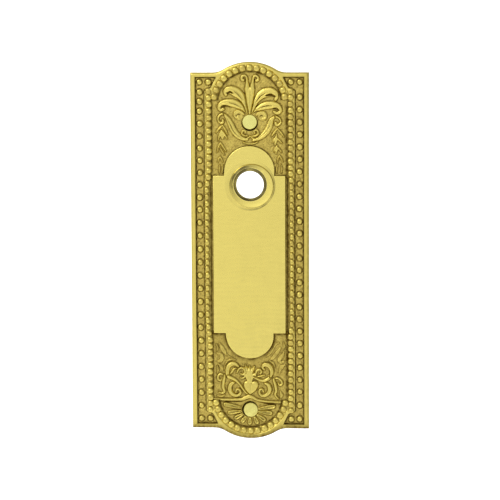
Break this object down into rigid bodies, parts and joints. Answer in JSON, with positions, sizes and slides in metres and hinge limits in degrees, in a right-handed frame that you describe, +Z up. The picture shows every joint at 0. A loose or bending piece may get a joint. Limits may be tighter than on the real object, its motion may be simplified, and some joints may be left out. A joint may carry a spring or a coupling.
{
  "type": "door backplate",
  "caption": "Tall cast brass backplate for a door knob, with crested ends, bead borders, carved scrolls, a collared knob bore and its fixing screws.",
  "frame": {"origin": "centre of the knob bore at the plate's back face", "axes": "+Z up the plate towards the crest above the palmette, -Y out of the front, X across the plate"},
  "size_m": [0.0572, 0.0221, 0.1841],
  "materials": {
    "cast_brass": "polished high spots over an aged, darkened ground",
    "screw_brass": "bright polished"
  },
  "bodies": {
    "root": {"backplate": "cast_brass", "top_screw": "screw_brass", "bottom_screw": "screw_brass"}
  },
  "joints": []
}
